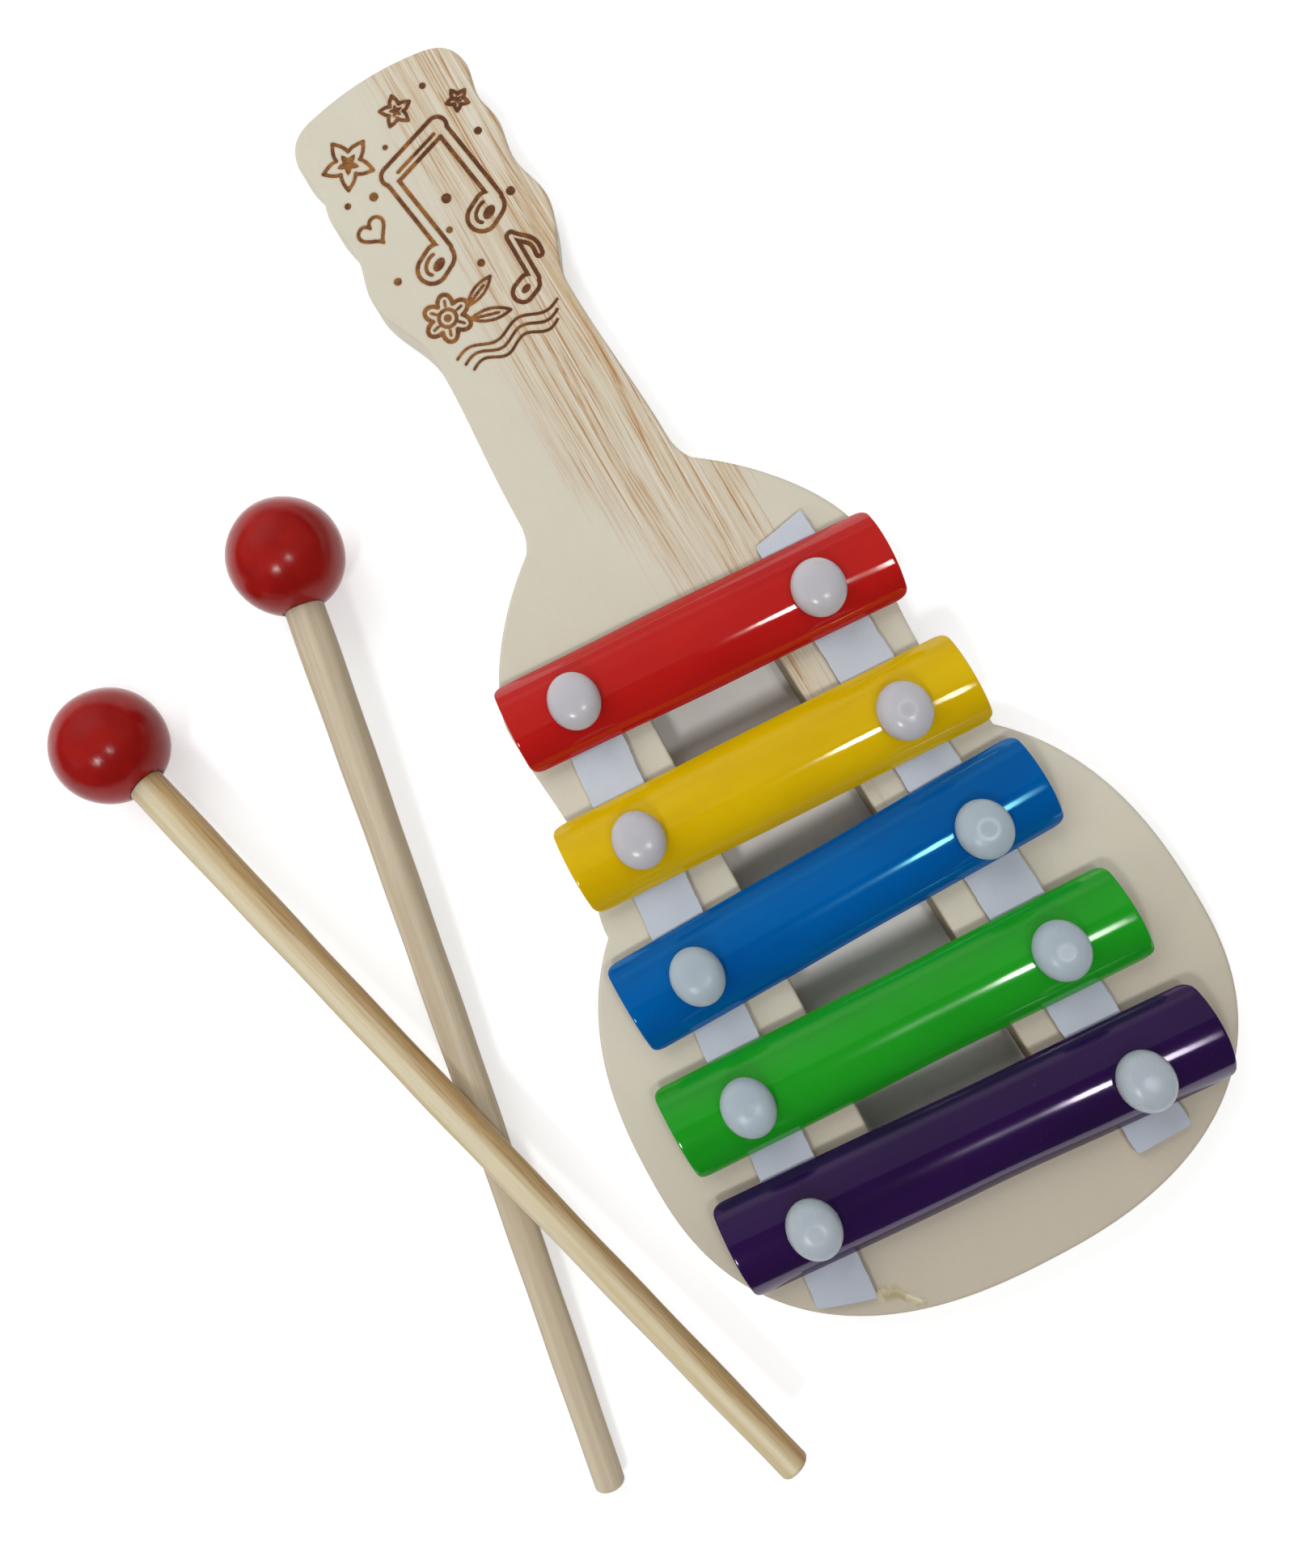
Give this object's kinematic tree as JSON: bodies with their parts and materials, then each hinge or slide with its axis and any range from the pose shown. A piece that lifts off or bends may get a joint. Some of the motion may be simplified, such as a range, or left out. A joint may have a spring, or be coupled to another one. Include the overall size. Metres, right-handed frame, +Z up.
{
  "type": "toy xylophone",
  "caption": "Wooden toy xylophone in a small guitar's outline: arched metal tone bars held by pins over foam strips, with a pair of ball-ended mallets lying crossed beside it.",
  "frame": {"origin": "on the board's flat underside, on its centreline, between the slot and the neck", "axes": "+Z up from the board's underside, +Y along the board towards its head, +X across it, away from the mallets"},
  "size_m": [0.1501, 0.231, 0.02],
  "materials": {
    "board_wood": "pale sanded wood with tan lengthwise streaks on one side",
    "foam": "white closed-cell foam tape, matt",
    "paint_red": "smooth glossy red paint on sheet metal",
    "paint_yellow": "smooth glossy yellow paint on sheet metal",
    "paint_blue": "smooth glossy blue paint on sheet metal",
    "paint_green": "smooth glossy green paint on sheet metal",
    "paint_purple": "smooth glossy dark purple paint on sheet metal",
    "pin_plastic": "white, slightly cloudy moulded plastic",
    "stick_wood": "bare turned wood with fine lengthwise fibres",
    "ball_paint": "turned wood under glossy red paint, slightly uneven"
  },
  "bodies": {
    "base": {"board": "board_wood", "foam_strip_left": "foam", "foam_strip_right": "foam", "pin_red_left": "pin_plastic", "pin_red_right": "pin_plastic", "pin_yellow_left": "pin_plastic", "pin_yellow_right": "pin_plastic", "pin_blue_left": "pin_plastic", "pin_blue_right": "pin_plastic", "pin_green_left": "pin_plastic", "pin_green_right": "pin_plastic", "pin_purple_left": "pin_plastic", "pin_purple_right": "pin_plastic"},
    "red_bar": {"bar_red": "paint_red"},
    "yellow_bar": {"bar_yellow": "paint_yellow"},
    "blue_bar": {"bar_blue": "paint_blue"},
    "green_bar": {"bar_green": "paint_green"},
    "purple_bar": {"bar_purple": "paint_purple"},
    "lower_mallet": {"mallet_lower_stick": "stick_wood", "mallet_lower_ball": "ball_paint"},
    "upper_mallet": {"mallet_upper_stick": "stick_wood", "mallet_upper_ball": "ball_paint"}
  },
  "joints": [
    {"name": "red_bar_lift", "type": "slide", "parent": "base", "child": "red_bar", "axis": [0, 0, 1], "range_m": [0, 0.0004]},
    {"name": "yellow_bar_lift", "type": "slide", "parent": "base", "child": "yellow_bar", "axis": [0, 0, 1], "range_m": [0, 0.0004]},
    {"name": "blue_bar_lift", "type": "slide", "parent": "base", "child": "blue_bar", "axis": [0, 0, 1], "range_m": [0, 0.0004]},
    {"name": "green_bar_lift", "type": "slide", "parent": "base", "child": "green_bar", "axis": [0, 0, 1], "range_m": [0, 0.0004]},
    {"name": "purple_bar_lift", "type": "slide", "parent": "base", "child": "purple_bar", "axis": [0, 0, 1], "range_m": [0, 0.0004]},
    {"name": "lower_mallet_lift", "type": "slide", "parent": "base", "child": "lower_mallet", "axis": [0, 0, 1], "range_m": [0, 0.12]},
    {"name": "upper_mallet_lift", "type": "slide", "parent": "lower_mallet", "child": "upper_mallet", "axis": [0, 0, 1], "range_m": [0, 0.12]}
  ]
}
